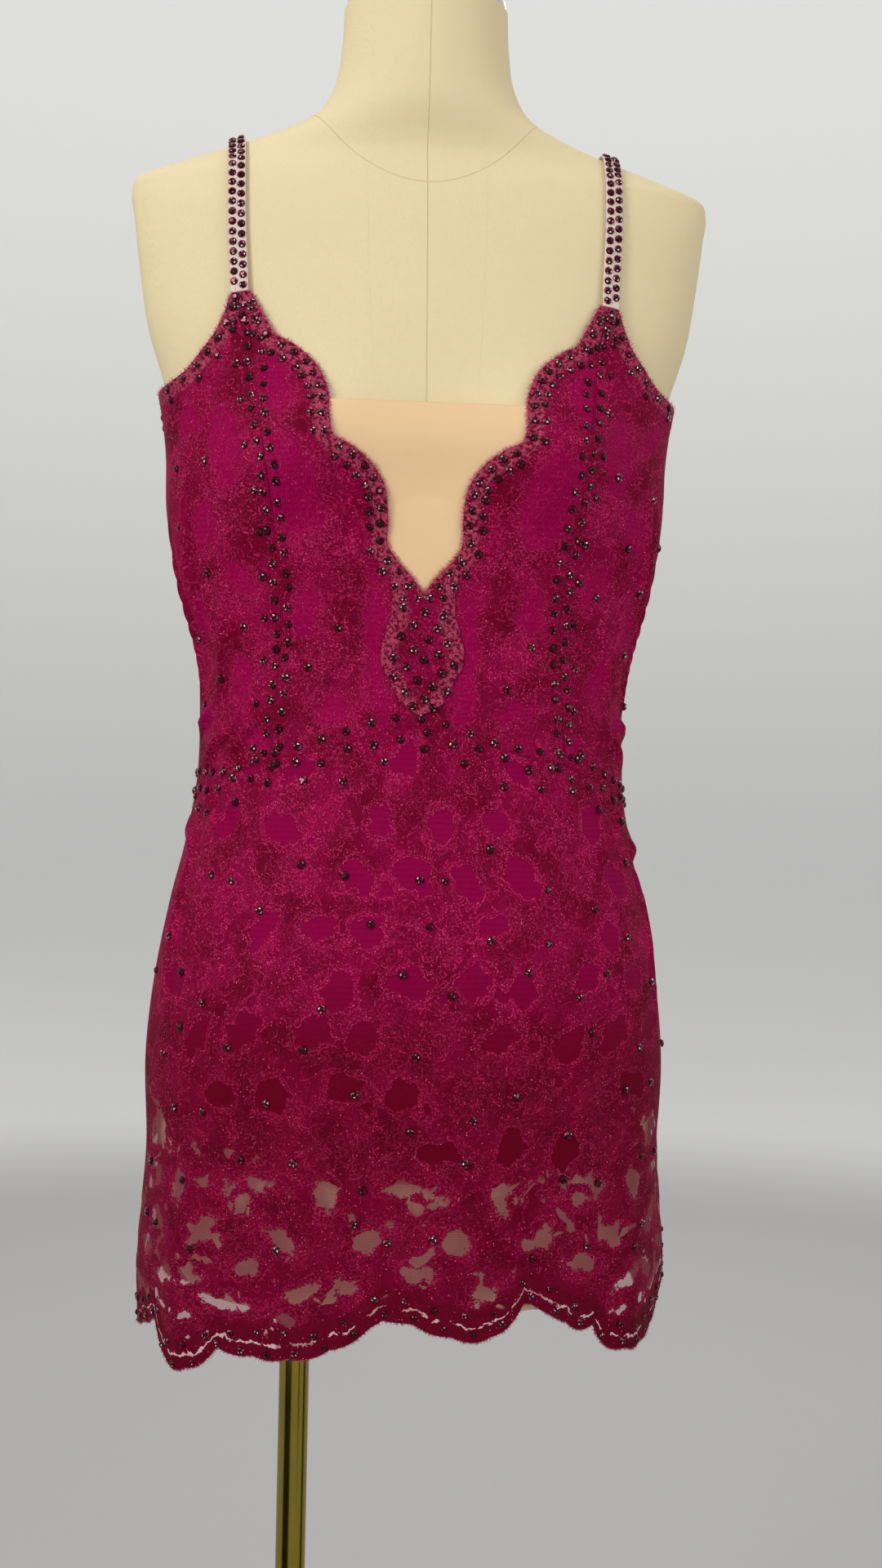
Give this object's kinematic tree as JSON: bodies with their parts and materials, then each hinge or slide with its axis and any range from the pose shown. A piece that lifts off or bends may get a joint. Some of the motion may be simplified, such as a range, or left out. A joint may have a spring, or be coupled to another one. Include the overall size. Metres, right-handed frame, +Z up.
{
  "type": "lyrical dance dress on a limbless dress form",
  "caption": "Short dance dress in scalloped lace with thin straps and a mesh-filled V neck, worn by a limbless dress form on an off-centre pole with a round base.",
  "frame": {"origin": "on the floor, in the middle of the stand's base and under the form", "axes": "+Z up, the dress faces -Y, +X is the viewer's right"},
  "size_m": [0.426, 0.41, 1.6153],
  "materials": {
    "lace": "burgundy stretch lace with a fine glitter thread, matt",
    "lining": "smooth magenta knit with a soft sheen",
    "nude_mesh": "fine nude stretch mesh, matt",
    "elastic": "pale nude woven elastic, soft satin",
    "form_cloth": "cream cotton cover, matt",
    "chrome": "polished",
    "brass": "polished",
    "black_metal": "satin black",
    "stones": "faceted dark garnet glass, foiled back"
  },
  "bodies": {
    "root": {"bodice_front_centre_right": "lace", "bodice_front_side_right": "lace", "bodice_front_centre_left": "lace", "bodice_front_side_left": "lace", "bodice_back": "lace", "modesty_panel": "nude_mesh", "v_applique": "lace", "strap_right": "elastic", "strap_left": "elastic", "skirt_front": "lace", "skirt_back": "lace", "skirt_lining_front": "lining", "skirt_lining_back": "lining", "form_torso": "form_cloth", "neck_cap": "chrome", "stand_socket": "black_metal", "stand_pole": "brass", "stand_foot": "brass", "stand_base": "brass"}
  },
  "joints": []
}
